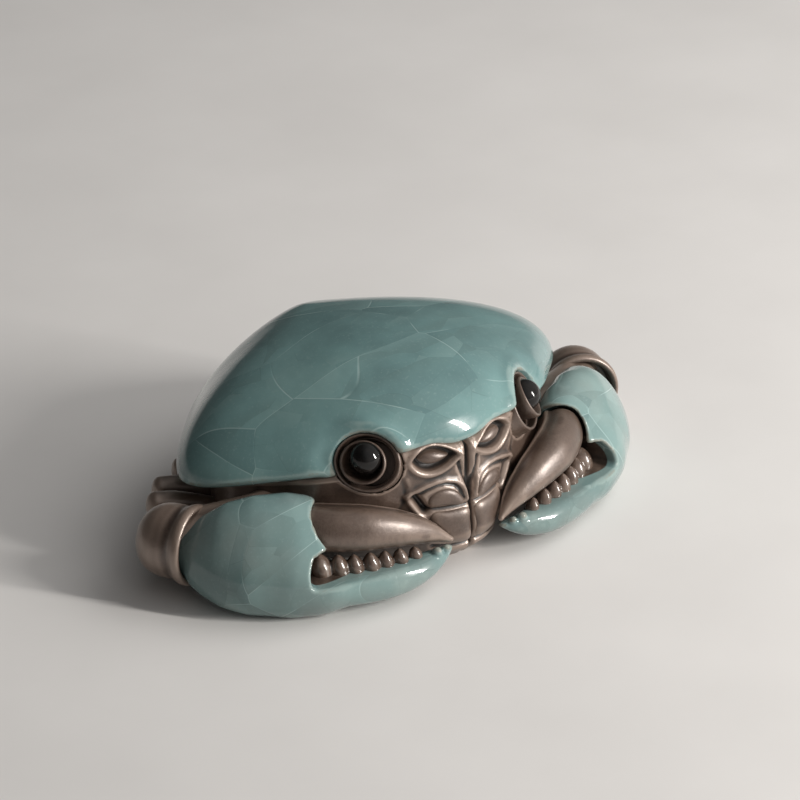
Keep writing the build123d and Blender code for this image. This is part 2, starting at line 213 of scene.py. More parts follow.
clay, add = new_material("bare_stoneware")
place = add("ShaderNodeTexCoord").outputs["Object"]
hollow = add("ShaderNodeAttribute", attribute_name="hollow").outputs["Fac"]
mottle = noise(add, place, 190.0, 5.0, 0.6)
grain = noise(add, place, 2600.0, 3.0, 0.7)
grog = add("ShaderNodeTexVoronoi", {"Vector": place, "Scale": 1500.0}).outputs["Distance"]
dark, middling, pale = (0.052, 0.030, 0.020), (0.088, 0.054, 0.038), (0.124, 0.082, 0.060)
tone = ramp(add, mottle, (0.30, dark), (0.52, middling), (0.72, pale))
tone = mixed(add, fade(add, grain, 0.35, 0.75, 0.0, 0.35), tone, (0.170, 0.120, 0.093, 1.0))
tone = mixed(add, fade(add, grog, 0.22, 0.05, 0.0, 0.5), tone, (0.030, 0.020, 0.015, 1.0))
# Near black in the hollows: a real dark stain in the crevices, with painted shade laid over it.
tone = mixed(add, fade(add, hollow, 0.0, 0.085, 0.0, 0.96), tone, (0.008, 0.005, 0.0035, 1.0))
# Paler on the ridges: a painted highlight on the burnished edges.
tone = mixed(add, fade(add, hollow, -0.006, -0.075, 0.0, 0.75), tone, (0.340, 0.255, 0.205, 1.0))
polish = fade(add, hollow, -0.06, 0.05, 0.36, 0.52)
polish = worked(add, "ADD", polish, fade(add, grain, 0.3, 0.7, -0.05, 0.06))
fine_bump = add("ShaderNodeBump", {"Strength": 0.22, "Distance": 0.0002, "Height": grain}).outputs[0]
bump = add("ShaderNodeBump", {"Strength": 0.25, "Distance": 0.0006, "Height": mottle, "Normal": fine_bump})
skin = add("ShaderNodeBsdfPrincipled", {"Base Color": tone, "Roughness": polish, "Normal": bump.outputs[0]})
skin.inputs["Metallic"].default_value = 0.34
skin.inputs["Specular IOR Level"].default_value = 1.0
skin.inputs["Coat Weight"].default_value = 0.58
skin.inputs["Coat Roughness"].default_value = 0.36
add("ShaderNodeOutputMaterial", {"Surface": skin.outputs[0]})

EYE_TURN, EYE_RISE = math.radians(53.0), math.radians(31.0)
EYE_AXIS = np.array([
    -math.sin(EYE_TURN) * math.cos(EYE_RISE),
    -math.cos(EYE_TURN) * math.cos(EYE_RISE),
    math.sin(EYE_RISE),
])
EYE_SIDE = np.array([-math.cos(EYE_TURN), math.sin(EYE_TURN), 0])
EYE_OVER = np.cross(EYE_SIDE, EYE_AXIS)
EYE_CENTRE = np.array([-16.7, BROW + 5.5, SEAT_FRONT + 0.2])
EYE_DEEP = 4.6
EYE_OVAL = 0.89
SOCKET = 5.4


def eye_place(points):
    """Distance out from the right eye's axis, on ovals, and height above the socket's floor."""
    offset = points - (EYE_CENTRE - EYE_AXIS * EYE_DEEP)
    return np.hypot(offset @ EYE_SIDE, offset @ EYE_OVER / EYE_OVAL), offset @ EYE_AXIS


def line_gap(u, v, line):
    """Distance from points to a drawn line of short runs."""
    gap = np.full(np.shape(u), 1e9)
    for (a, b), (c, d) in zip(line, line[1:]):
        run = (c - a) ** 2 + (d - b) ** 2
        share = np.clip(((u - a) * (c - a) + (v - b) * (d - b)) / run, 0, 1)
        gap = np.minimum(gap, np.hypot(u - a - share * (c - a), v - b - share * (d - b)))
    return gap


def swell(gap, width):
    """A rounded ridge over a line."""
    return np.exp(-((gap / width) ** 2))


def step(value, low, high):
    """A smooth step from 0 at low to 1 at high."""
    share = np.clip((value - low) / (high - low), 0, 1)
    return share * share * (3 - 2 * share)


PIT = (5.95, 21.25)
PIT_SLOPE = math.radians(2.6)


def almond_gap(across, z, long=4.1, tall=2.25):
    """Distance to the edge of the drop-shaped pit under the brow, below 0 inside it."""
    right, up = across - PIT[0], z - PIT[1]
    u = right * math.cos(PIT_SLOPE) + up * math.sin(PIT_SLOPE)
    v = up * math.cos(PIT_SLOPE) - right * math.sin(PIT_SLOPE)
    v = v / (1 + 0.28 * np.clip(u / long, -1, 1))
    bow = (long**2 + tall**2) / (2 * tall)
    return np.maximum(np.hypot(u, v - (bow - tall)), np.hypot(u, v + (bow - tall))) - bow


# Lines of the face, as (out from the midline, height)
LIP = [
    (11.0, 15.3), (10.0, 15.7), (8.8, 16.3), (7.7, 16.7), (6.1, 17.05),
    (4.4, 17.05), (2.7, 16.55), (1.8, 15.7), (1.3, 14.5), (0.9, 13.0),
]
LIP_UNDER = [(8.6, 15.3), (7.7, 15.8), (6.1, 16.3), (4.5, 16.4), (2.9, 15.8), (2.0, 14.9), (1.4, 13.4)]
SNOUT_LINE = [(1.9, 19.5), (1.5, 18.0), (1.05, 16.5), (0.35, 14.4)]
MOUTH_CORNER = [(9.5, 14.7), (8.8, 13.5), (8.1, 12.2)]
CORNER_RIDGE = [(10.6, 14.8), (9.9, 13.2), (9.0, 11.7), (8.2, 10.5)]
CHEEK_CREASE = [(11.6, 18.6), (11.2, 16.4), (11.4, 14.0), (12.2, 11.5)]
CHEEK_RIDGE = [(10.6, 18.4), (10.2, 17.0), (10.6, 15.4)]
MOUTH_SEAM = [(7.8, 12.2), (4.8, 12.05), (0.6, 11.85)]
CHIN_SEAM = [(6.6, 4.9), (4.0, 4.6), (0.6, 4.7)]


def brow_lift(x, y):
    """How far the edge of the carapace is arched up over the face."""
    across = np.abs(x)
    return (0.5 + 1.55 * step(across, 0.6, 7.0)) * step(across, 15.0, 11.5) * step(y, -13.0, -18.0)


def face_relief(x, z):
    """How far the carved face stands out from the plain bowl."""
    across = np.abs(x)
    almond = almond_gap(across, z)

    def drawn(line, width):
        return swell(line_gap(across, z, line), width)

    rise = 0.40 * swell(almond - 0.40, 0.40) - 1.55 * step(almond, 0.1, -0.6)
    rise += 0.44 * drawn(LIP, 0.52) - 0.55 * drawn(LIP_UNDER, 0.32)
    rise += 0.28 * swell(across - 1.05, 0.45) * step(z, 12.0, 14.0)
    rise -= 0.75 * drawn(SNOUT_LINE, 0.28)
    rise -= 1.40 * swell(across, 0.32 + 0.40 * swell(z - 17.0, 3.2))
    rise -= 1.5 * drawn(MOUTH_CORNER, 0.62)
    rise += 0.35 * drawn(CORNER_RIDGE, 0.5)
    rise -= 0.12 * drawn(CHEEK_CREASE, 0.4)
    rise += 0.10 * drawn(CHEEK_RIDGE, 0.5)
    rise -= 0.45 * drawn(MOUTH_SEAM, 0.30)
    rise += 0.55 * swell(z - 3.4, 1.1) * step(across, 8.5, 5.5)
    rise -= 0.50 * drawn(CHIN_SEAM, 0.32)
    return rise * step(across, 15.5, 12.5)


# The bowl as a net of level rows, its columns set closer together on the face than behind
ROWS = 112
FACE_COLUMN, BACK_COLUMN = 0.23, 1.0
belly_knots = wall_knots(BELLY)
knot_gap = np.linalg.norm(np.diff(np.vstack([belly_knots, belly_knots[:1]]), axis=0), axis=1)
knots = np.concatenate([[0], np.cumsum(knot_gap)[:-1]])
girth = knot_gap.sum()
fine = np.linspace(0, girth, 4000, endpoint=False)
fine_y = (closed_curve(knots, girth, fine) @ belly_knots)[:, 1]
crowd = np.cumsum(1 / np.where(fine_y < -8.0, FACE_COLUMN, BACK_COLUMN))
column_step = crowd[-1] / round(crowd[-1] * girth / len(fine))
columns = np.interp(np.arange(0, crowd[-1], column_step), crowd, fine)
turn = closed_curve(knots, girth, columns)
top = np.full(len(columns), SEAT_FRONT)
for _ in range(6):
    top = seat_height(np.einsum("ck,ckd->cd", turn, wall_knots(top))[:, 1])
lifted = np.einsum("ck,ckd->cd", turn, wall_knots(top))
top = top + brow_lift(lifted[:, 0], lifted[:, 1])
levels = np.linspace(0, 1, ROWS)[:, None] * top[None, :]
bowl = np.empty((ROWS, len(columns), 3))
for row in range(ROWS):
    bowl[row, :, :2] = np.einsum("ck,ckd->cd", turn, wall_knots(levels[row]))
bowl[..., 2] = levels
along = np.roll(bowl, -1, 1) - np.roll(bowl, 1, 1)
outward = np.stack([along[..., 1], -along[..., 0], 0 * along[..., 0]], -1)
outward /= np.linalg.norm(outward, axis=-1, keepdims=True)
front = step(bowl[..., 1], -12.0, -15.0)
bowl += outward * (face_relief(bowl[..., 0], bowl[..., 2]) * front)[..., None]
flank = np.abs(bowl[..., 0])
cheek = 0.9 * swell(bowl[..., 2] - 12.0, 3.6) * step(flank, 11.0, 15.0) * step(flank, 26.0, 20.0) * front
bowl += outward * cheek[..., None]
wiped_edges = 0.5 * swell(bowl[..., 2], 0.5) + 0.45 * front * swell(bowl[..., 2] - top, 0.35)
bowl -= outward * wiped_edges[..., None]
for side in (1, -1):
    flip = np.array([side, 1, 1])
    out, high = eye_place(bowl * flip)
    sink = np.where((out < SOCKET + 0.1) & (high > 0.0), high, 0.0)
    bowl -= sink[..., None] * EYE_AXIS * flip
VENT, VENT_PLACE = 2.25, np.array([0, 12.0])
spoke = bowl[0, :, :2] - VENT_PLACE
reach = np.linalg.norm(spoke, axis=1)
rings = []
for share, lift in ((0.0, 0.0), (0.35, 0.0), (0.75, 0.0), (1.0, 0.05), (1.0, 1.2), (1.0, 3.2)):
    radius = reach + (VENT - reach) * share
    ring = VENT_PLACE + spoke / reach[:, None] * radius[:, None]
    rings.append(np.column_stack([ring, np.full(len(ring), lift)]))
lid = bowl[-1].copy()
lid[:, :2] *= 0.6
skin_rows = np.concatenate([np.array(rings[::-1]), bowl[1:], lid[None]])


def grid_faces(rows, columns):
    """Faces of a net of rows that closes round on itself."""
    here = np.arange(rows * columns).reshape(rows, columns)
    over = np.roll(here, -1, 1)
    return np.stack([here[:-1], over[:-1], over[1:], here[1:]], -1).reshape(-1, 4)


points = skin_rows.reshape(-1, 3)
faces = grid_faces(len(skin_rows), len(columns))
make_piece("lower_body", points, faces, clay, "bare_stoneware", hollow=hollows(points, faces, 9))

# The plain front of the bowl, kept for the pieces that are luted on to it
FACE_HALF, FACE_TOP, FACE_FINE = 17, 25, 10
face_x = np.linspace(-FACE_HALF, FACE_HALF, 2 * FACE_HALF * FACE_FINE + 1)
face_z = np.linspace(0, FACE_TOP, FACE_TOP * FACE_FINE + 1)
dense_turn = closed_curve(knots, girth, np.linspace(0, girth, 2400, endpoint=False))
face_table = []
for z in face_z:
    ring = dense_turn @ wall_knots(z)
    ring = ring[ring[:, 1] < 0]
    ring = ring[np.argsort(ring[:, 0])]
    face_table.append(np.interp(face_x, ring[:, 0], ring[:, 1]))
face_table = np.array(face_table)


def face_y(x, z):
    """How far forward the plain bowl stands at a place on the face."""
    i = np.clip((x + FACE_HALF) * FACE_FINE, 0, len(face_x) - 1.001)
    j = np.clip(z * FACE_FINE, 0, len(face_z) - 1.001)
    a, b = i.astype(int), j.astype(int)
    i, j = i - a, j - b
    low = face_table[b, a] * (1 - i) + face_table[b, a + 1] * i
    high = face_table[b + 1, a] * (1 - i) + face_table[b + 1, a + 1] * i
    return low * (1 - j) + high * j


# ---------------------------------------------------------------------------------------------
# Carapace. A domed shell pressed in its own mould and luted on to the bowl, with a rolled rim and a
# raised hood over each eye. It is dipped in a thick celadon glaze that crackles as it cools, pools
# in hollows and breaks to rust where it runs thin over an edge.
# ---------------------------------------------------------------------------------------------
HALF_WIDTH = 37.6
LENGTH = 54.9
RISE = 18.85
ROLL = 1.5
RIM_CENTRE = 32.6
CROWN = 40.0
HEART = 0.48 * LENGTH
SEAT_EDGE = np.array([0, BROW, SEAT_FRONT])
SEAT_BACK = np.array([0, math.cos(SEAT_TILT), -math.sin(SEAT_TILT)])
SEAT_UP = np.array([0, math.sin(SEAT_TILT), math.cos(SEAT_TILT)])


def smooth_ring(corners, count=96):
    """A smooth closed outline through a few corners."""
    corners = np.array(corners, float)
    gaps = np.linalg.norm(np.roll(corners, -1, 0) - corners, axis=1)
    starts = np.concatenate([[0], np.cumsum(gaps)[:-1]])
    places = np.linspace(0, gaps.sum(), count, endpoint=False)
    return closed_curve(starts, gaps.sum(), places) @ corners


half_rim = np.array([
    (0, 0), (0.25, 0.02), (0.46, 0.08), (0.80, 0.28), (1, 0.48),
    (0.80, 0.73), (0.60, 0.87), (0.34, 0.955), (0, 1),
]) * (HALF_WIDTH, LENGTH)
rim = smooth_ring(np.vstack([half_rim, half_rim[-2:0:-1] * (-1, 1)]), 2000)
rim_turn = np.arctan2(np.abs(rim[:, 0]), rim[:, 1] - HEART)
rim_order = np.argsort(rim_turn)
rim_reach = np.hypot(rim[:, 0], rim[:, 1] - HEART)[rim_order]
rim_turn = rim_turn[rim_order]


def merge(a, b, soft):
    """Two forms run together with a soft fillet."""
    lap = np.maximum(soft - np.abs(a - b), 0) / soft
    return np.minimum(a, b) - lap * lap * soft / 4


def carve(a, b, soft):
    """Form a with form b taken out of it, with a softened edge."""
    return -merge(-a, b, soft)


def dome_form(points):
    """Below 0 inside the dome, in no unit."""
    offset = points - SEAT_EDGE
    climb = (offset @ SEAT_UP - ROLL) / (RISE - ROLL)
    over = np.clip(climb, 0, 0.9995)
    share = (1 - over**2) ** 0.54 - 0.04 * np.clip(-climb * 10, 0, 1.2) ** 1.5
    centre = RIM_CENTRE + (CROWN - RIM_CENTRE) * over
    back = (offset @ SEAT_BACK - centre * (1 - share)) / share - HEART
    across = np.abs(points[..., 0]) / share**1.29
    reach = np.hypot(across, back) / np.interp(np.arctan2(across, back), rim_turn, rim_reach)
    return (reach - 1) * share**2 + np.clip(climb - 0.9995, 0, None)


def slope_of(form, points, reach=0.02):
    """The slope of a form at points, by small steps each way."""
    parts = []
    for axis in range(3):
        nudge = np.zeros(3)
        nudge[axis] = reach
        parts.append((form(points + nudge) - form(points - nudge)) / (2 * reach))
    return np.stack(parts, -1)


def shell_form(points):
    """Signed distance to the carapace: dome, rolled rim, hoods and eye pockets."""
    dome = dome_form(points) / (np.linalg.norm(slope_of(dome_form, points), axis=-1) + 1e-6)
    out, high = eye_place(np.where(points[..., :1] < 0, points, points * MIRROR))
    dome = dome - 0.55 * swell(out - 6.8, 1.2) * step(high, 6.8, 4.6)
    dome = dome + 1.5 * swell(np.clip(out - 4.6, 0, None), 2.6) * step(high, 4.9, 7.2)
    up = (points - SEAT_EDGE) @ SEAT_UP
    shell = carve(dome, up - brow_lift(points[..., 0], points[..., 1]), 1.4)
    return carve(shell, np.maximum(out - SOCKET - 0.05, -high - 1.0), 0.45)


def outward_faces(points, faces):
    """Faces turned so that they look outward."""
    corner = points[faces]
    first = np.cross(corner[:, 1] - corner[:, 0], corner[:, 2] - corner[:, 0])
    second = np.cross(corner[:, 2] - corner[:, 0], corner[:, 3] - corner[:, 0])
    bulk = (corner[:, 0] * (first + second)).sum()
    return faces if bulk > 0 else faces[:, ::-1]


def cast(form, low, high, size, slab=12, reach=3.0):
    """The skin of a form inside a box: points drawn on to the form, and four-cornered faces."""
    sides = [np.arange(a, b + size, size) for a, b in zip(low, high)]
    block = np.empty([len(side) for side in sides], np.float32)
    for start in range(0, len(sides[0]), slab):
        net = np.meshgrid(sides[0][start : start + slab], sides[1], sides[2], indexing="ij")
        block[start : start + slab] = form(np.stack(net, -1))
    grid = openvdb.FloatGrid(reach)
    grid.copyFromArray(np.clip(block, -reach, reach))
    points, _, faces = grid.convertToPolygons(0.0, 0.0)
    points = np.asarray(points, float) * size + np.array(low)
    faces = np.asarray(faces, int)
    for _ in range(2):
        slope = slope_of(form, points)
        stride = (form(points) / ((slope**2).sum(1) + 1e-6)).clip(-size, size)
        points = points - slope * stride[:, None]
    return points, outward_faces(points, faces)


LARGE_CRACKLE, SMALL_CRACKLE = 68.0, 135.0


def celadon(name, seed, slip):
    """The crackled celadon glaze over dark clay, with a share of pale slip showing through it."""
    material, add = new_material(name)
    place = add("ShaderNodeTexCoord").outputs["Object"]
    place = add("ShaderNodeMapping", {"Vector": place, "Location": (seed, seed * 0.7, seed * 1.3)}).outputs[0]
    hollow = add("ShaderNodeAttribute", attribute_name="hollow").outputs["Fac"]
    bare = add("ShaderNodeAttribute", attribute_name="bare").outputs["Fac"]

    def combined(way, first, second):
        return add("ShaderNodeVectorMath", {0: first, 1: second}, operation=way).outputs

    def cracks(scale):
        net = add("ShaderNodeTexVoronoi", {"Vector": bent, "Scale": scale}, feature="DISTANCE_TO_EDGE")
        return net.outputs["Distance"]

    def glance(scale):
        """Each chip of glaze leans its own way, so one side of it looks lighter than the other."""
        chips = add("ShaderNodeTexVoronoi", {"Vector": bent, "Scale": scale}).outputs
        lean = combined("SUBTRACT", chips["Color"], (0.5, 0.5, 0.5))[0]
        inside = combined("SUBTRACT", bent, chips["Position"])[0]
        return worked(add, "MULTIPLY", combined("DOT_PRODUCT", inside, lean)["Value"], scale)

    drift = add("ShaderNodeTexNoise", {"Vector": place, "Scale": 30.0, "Detail": 1.0}).outputs["Color"]
    drift = combined("SUBTRACT", drift, (0.5, 0.5, 0.5))[0]
    drift = add("ShaderNodeVectorMath", {0: drift, "Scale": 0.013}, operation="SCALE").outputs[0]
    bent = add("ShaderNodeMapping", {"Vector": combined("ADD", place, drift)[0]})
    bent.inputs["Rotation"].default_value = (0.3, 0.2, 0.7)
    bent.inputs["Scale"].default_value = (0.70, 1.25, 1.0)
    bent = bent.outputs[0]
    large_glance, small_glance = glance(LARGE_CRACKLE), glance(SMALL_CRACKLE)
    cloud = noise(add, place, 48.0, 4.0, 0.55)
    patch = noise(add, place, 95.0, 2.0)
    speck = noise(add, place, 1900.0, 2.0)
    deep, full, light = (0.098, 0.182, 0.184), (0.140, 0.252, 0.250), (0.184, 0.305, 0.296)
    tone = ramp(add, cloud, (0.32, deep), (0.52, full), (0.70, light))
    tone = mixed(add, fade(add, patch, 0.30, 0.70, slip * 1.4, slip * 0.6), tone, (0.300, 0.275, 0.250, 1.0))
    tone = mixed(add, fade(add, large_glance, 0.02, 0.40, 0.0, 0.42), tone, (0.235, 0.365, 0.355, 1.0))
    tone = mixed(add, fade(add, large_glance, -0.05, -0.42, 0.0, 0.45), tone, (0.078, 0.148, 0.152, 1.0))
    tone = mixed(add, fade(add, small_glance, 0.05, 0.42, 0.0, 0.26), tone, (0.225, 0.330, 0.315, 1.0))
    tone = mixed(add, fade(add, small_glance, -0.08, -0.42, 0.0, 0.30), tone, (0.105, 0.165, 0.158, 1.0))
    tone = mixed(add, fade(add, speck, 0.55, 0.80, 0.0, 0.20), tone, (0.30, 0.40, 0.38, 1.0))
    tone = mixed(add, fade(add, hollow, 0.005, 0.06, 0.0, 0.55), tone, (0.085, 0.165, 0.168, 1.0))
    wide = fade(add, cracks(LARGE_CRACKLE), 0.0085, 0.0015)
    narrow = fade(add, cracks(SMALL_CRACKLE), 0.0085, 0.002)
    shown = worked(add, "MULTIPLY", wide, fade(add, patch, 0.40, 0.62))
    fainter = worked(add, "MULTIPLY", narrow, fade(add, patch, 0.54, 0.40, 0.0, 0.6))
    tone = mixed(add, fade(add, shown, 0.0, 1.0, 0.0, 0.42), tone, (0.42, 0.54, 0.52, 1.0))
    tone = mixed(add, fade(add, fainter, 0.0, 1.0, 0.0, 0.34), tone, (0.060, 0.100, 0.098, 1.0))
    thinning = noise(add, place, 260.0, 4.0)
    worn = worked(add, "ADD", fade(add, thinning, 0.35, 0.65, -0.030, 0.014), hollow)
    tone = mixed(add, fade(add, worn, -0.040, -0.080, 0.0, 0.40), tone, (0.310, 0.390, 0.365, 1.0))
    tone = mixed(add, fade(add, worn, -0.105, -0.155, 0.0, 0.36), tone, (0.210, 0.115, 0.055, 1.0))
    rough = fade(add, shown, 0.0, 1.0, 0.20, 0.34)
    height = worked(add, "MULTIPLY", wide, -0.35)
    sway = add("ShaderNodeBump", {"Strength": 0.32, "Distance": 0.0011, "Height": cloud}).outputs[0]
    bump = add("ShaderNodeBump", {"Strength": 0.12, "Distance": 0.0003, "Height": height, "Normal": sway})
    bump = bump.outputs[0]
    coat = add("ShaderNodeBsdfPrincipled", {"Base Color": tone, "Roughness": rough, "Normal": bump})
    coat.inputs["Specular IOR Level"].default_value = 0.12
    coat.inputs["Coat Weight"].default_value = 0.80
    coat.inputs["Coat Roughness"].default_value = 0.045
    coat.inputs["Coat IOR"].default_value = 1.45
    raw = noise(add, place, 420.0, 5.0)
    body = ramp(add, raw, (0.35, (0.040, 0.026, 0.019)), (0.68, (0.110, 0.078, 0.060)))
    # Near black in the hollows of the wiped clay: a real dark stain, with painted shade laid over it.
    body = mixed(add, fade(add, hollow, 0.0, 0.08, 0.0, 0.9), body, (0.012, 0.008, 0.006, 1.0))
    under = add("ShaderNodeBsdfPrincipled", {"Base Color": body, "Roughness": 0.45})
    wiped = fade(add, bare, 0.3, 0.7)
    skin = add("ShaderNodeMixShader", {0: wiped, 1: coat.outputs[0], 2: under.outputs[0]})
    add("ShaderNodeOutputMaterial", {"Surface": skin.outputs[0]})
    return material


points, faces = cast(shell_form, (-38.4, -27.4, 6.0), (38.4, 29.0, 33.0), 0.4)
offset = (points - SEAT_EDGE) @ SEAT_UP - brow_lift(points[:, 0], points[:, 1])
marks = {"hollow": hollows(points, faces, 6), "bare": step(offset, 0.35, 0.05)}
make_piece("carapace", points, faces, celadon("shell_glaze", 0.0, 0.03), "celadon_glaze", **marks)

# ---------------------------------------------------------------------------------------------
# Antennules. Two seed-shaped pellets of clay, rolled between the fingers, pressed into the almond
# pits under the brow and smoothed with a wet brush.
# ---------------------------------------------------------------------------------------------
def pillow(outline, seat, height, fullness, tuck=0.8, rings=22):
    """A swollen pad on the right of the face, from its outline in front view and its proud height."""
    across, z = -outline[:, 0], outline[:, 1]
    middle = np.array([across.mean(), z.mean()])
    shares = np.sin(np.linspace(0.0004, 1, rings) * np.pi / 2)
    steps = [(share, seat + height * (1 - share**fullness) ** 0.5) for share in shares]
    steps += [(1.0, seat - tuck), (0.0006, seat - tuck)]
    net = []
    for share, lift in steps:
        x = middle[0] + (across - middle[0]) * share
        high = middle[1] + (z - middle[1]) * share
        lean = (face_y(x + 0.2, high) - face_y(x - 0.2, high)) / 0.4
        rake = (face_y(x, high + 0.2) - face_y(x, high - 0.2)) / 0.4
        size = np.sqrt(lean**2 + rake**2 + 1)
        y = face_y(x, high) - lift / size
        net.append(np.stack([x + lift * lean / size, y, high + lift * rake / size], -1))
    net = np.array(net)
    return net.reshape(-1, 3), grid_faces(*net.shape[:2])[:, ::-1]


def make_pair(name, points, faces, material, slot, rounds, **marks):
    """A right-hand piece and its mirrored left twin."""
    faces = outward_faces(points - points.mean(0), faces)
    marks["hollow"] = hollows(points, faces, rounds)
    make_piece("right_" + name, points, faces, material, slot, **marks)
    make_piece("left_" + name, points * MIRROR, faces[:, ::-1], material, slot, **marks)


SEED_LONG, SEED_TALL = 2.75, 1.16
turn_by = np.linspace(0, 2 * np.pi, 96, endpoint=False)
seed_u = SEED_LONG * np.cos(turn_by)
seed_v = SEED_TALL * np.sin(turn_by) * np.abs(np.sin(turn_by)) ** 0.35 * (1 + 0.28 * np.cos(turn_by)) + 0.1
seed = np.stack([
    PIT[0] + seed_u * math.cos(PIT_SLOPE) - seed_v * math.sin(PIT_SLOPE),
    PIT[1] + seed_v * math.cos(PIT_SLOPE) + seed_u * math.sin(PIT_SLOPE),
], -1)
points, faces = pillow(seed, -1.25, 1.35, 2.0, tuck=0.3)
make_pair("antennule", points, faces, clay, "bare_stoneware", 14)

# ---------------------------------------------------------------------------------------------
# Mouth. On each side a swollen pad under the lip, and a smooth plate below it, modelled as flat
# clay pads and luted into the carved mouth.
# ---------------------------------------------------------------------------------------------
pad = smooth_ring([
    (1.3, 12.4), (1.8, 13.7), (2.9, 14.9), (4.5, 15.5), (6.1, 15.3),
    (7.2, 14.6), (7.6, 13.7), (7.4, 12.9), (6.4, 12.65), (4.4, 12.5),
])
points, faces = pillow(pad, -0.25, 0.85, 3.4)
make_pair("mouth_pad", points, faces, clay, "bare_stoneware", 10)
plate = smooth_ring([
    (0.75, 11.2), (2.6, 11.5), (4.8, 11.55), (6.9, 11.4), (7.4, 10.2),
    (6.4, 7.6), (4.9, 5.7), (2.8, 5.1), (0.8, 5.3), (0.65, 8.2),
])
points, faces = pillow(plate, -0.25, 1.05, 3.6)
make_pair("mouth_plate", points, faces, clay, "bare_stoneware", 10)

# ---------------------------------------------------------------------------------------------
# Eyes. Each is a turned collar let into brow and cheek, a turned cup on a short stalk inside it, and
# a glossy black glazed bead set high in the cup.
# ---------------------------------------------------------------------------------------------
def turned(profile, foot, axis, count=96, shift=(0.0, 0.0), oval=1.0, slant=(0.0, 0.0)):
    """A turned piece: (radius, height) places round an axis, set off by shift, its top slanted."""
    axis = np.array(axis, float) / np.linalg.norm(axis)
    side = np.cross(axis, (0, 0, 1))
    side /= np.linalg.norm(side)
    rise = np.cross(side, axis)
    ways = np.linspace(0, 2 * np.pi, count, endpoint=False)
    ring = np.cos(ways)[:, None] * side + np.sin(ways)[:, None] * rise * oval
    lift = (np.cos(ways) * slant[0] + np.sin(ways) * slant[1])[:, None] * axis
    heart = np.array(foot, float) + shift[0] * side + shift[1] * rise
    top = max(high for _, high in profile)
    rings = [
        heart + axis * high + ring * radius + lift * max(high / top, 0) ** 2
        for radius, high in profile
    ]
    return np.array(rings).reshape(-1, 3), grid_faces(len(profile), count)


def rounded(corners, each=8):
    """A smooth open profile through a few (radius, height) corners."""
    corners = np.array(corners, float)
    fine = np.linspace(0, len(corners) - 1, each * (len(corners) - 1) + 1)
    before = np.vstack([corners[0] * 2 - corners[1], corners, corners[-1] * 2 - corners[-2]])
    k = np.minimum(fine.astype(int), len(corners) - 2)
    t = (fine - k)[:, None]
    p0, p1, p2, p3 = before[k], before[k + 1], before[k + 2], before[k + 3]
    bow = (2 * p0 - 5 * p1 + 4 * p2 - p3) * t**2
    line = 0.5 * (2 * p1 + (p2 - p0) * t + bow + (3 * p1 - p0 - 3 * p2 + p3) * t**3)
    line[:, 0] = np.maximum(line[:, 0], 0.02)
    return line


eye_foot = EYE_CENTRE - EYE_AXIS * EYE_DEEP
collar = rounded([
    (0.02, 0.0), (4.2, 0.0), (5.2, 0.1), (5.38, 1.2), (5.40, 2.8), (5.42, 3.8),
    (5.36, 4.25), (5.12, 4.4), (4.86, 4.2), (4.78, 3.6), (4.72, 2.9), (4.6, 2.6),
    (4.36, 2.55), (4.2, 2.1), (4.1, 0.8), (3.6, 0.5), (0.02, 0.5),
], 5)
points, faces = turned(collar, eye_foot, EYE_AXIS, oval=EYE_OVAL, slant=(1.0, 0.35))
make_pair("eye_socket", points, faces, clay, "bare_stoneware", 8)
cup = rounded([
    (0.02, 0.55), (2.6, 0.55), (3.0, 0.9), (3.05, 1.8), (3.3, 3.0), (3.70, 4.2), (3.88, 5.0),
    (3.80, 5.45), (3.52, 5.5), (3.28, 5.15), (2.95, 4.2), (2.4, 3.2), (1.4, 2.7), (0.02, 2.5),
], 6)
points, faces = turned(cup, eye_foot, EYE_AXIS, shift=(0.45, -0.05), oval=0.93)
make_pair("eye_stalk", points, faces, clay, "bare_stoneware", 8)

black, add = new_material("black_glaze")
place = add("ShaderNodeTexCoord").outputs["Object"]
ripple = noise(add, place, 700.0, 3.0)
tone = ramp(add, ripple, (0.35, (0.004, 0.004, 0.004)), (0.7, (0.012, 0.010, 0.009)))
bump = add("ShaderNodeBump", {"Strength": 0.08, "Distance": 0.0004, "Height": ripple})
polish = fade(add, ripple, 0.3, 0.7, 0.06, 0.16)
skin = add("ShaderNodeBsdfPrincipled", {"Base Color": tone, "Roughness": polish, "Normal": bump.outputs[0]})
skin.inputs["Specular IOR Level"].default_value = 0.32
skin.inputs["Coat Weight"].default_value = 0.20
skin.inputs["Coat Roughness"].default_value = 0.02
add("ShaderNodeOutputMaterial", {"Surface": skin.outputs[0]})
BEAD_WIDE, BEAD_TALL, BEAD_HEIGHT = 2.72, 2.60, 4.80
arc = np.linspace(-np.pi / 2, np.pi / 2, 40)
bead_rise = BEAD_HEIGHT + BEAD_TALL * np.sin(arc) + 0.10 * np.sin(arc) ** 3
bead = np.stack([BEAD_WIDE * np.cos(arc) + 0.01, bead_rise], -1)
points, faces = turned(bead, eye_foot, EYE_AXIS, 72, (0.15, 0.75))
make_pair("eye", points, faces, black, "black_glaze", 4)

# ---------------------------------------------------------------------------------------------
# Palms. The hand of each claw with its fixed finger, moulded in one piece, with a socket for the
# moving finger and a cut-back gape for the teeth. Celadon glaze outside, wiped back to the clay in
# the gape and the socket.
# ---------------------------------------------------------------------------------------------
CLAW_LEAN = math.radians(24.0)


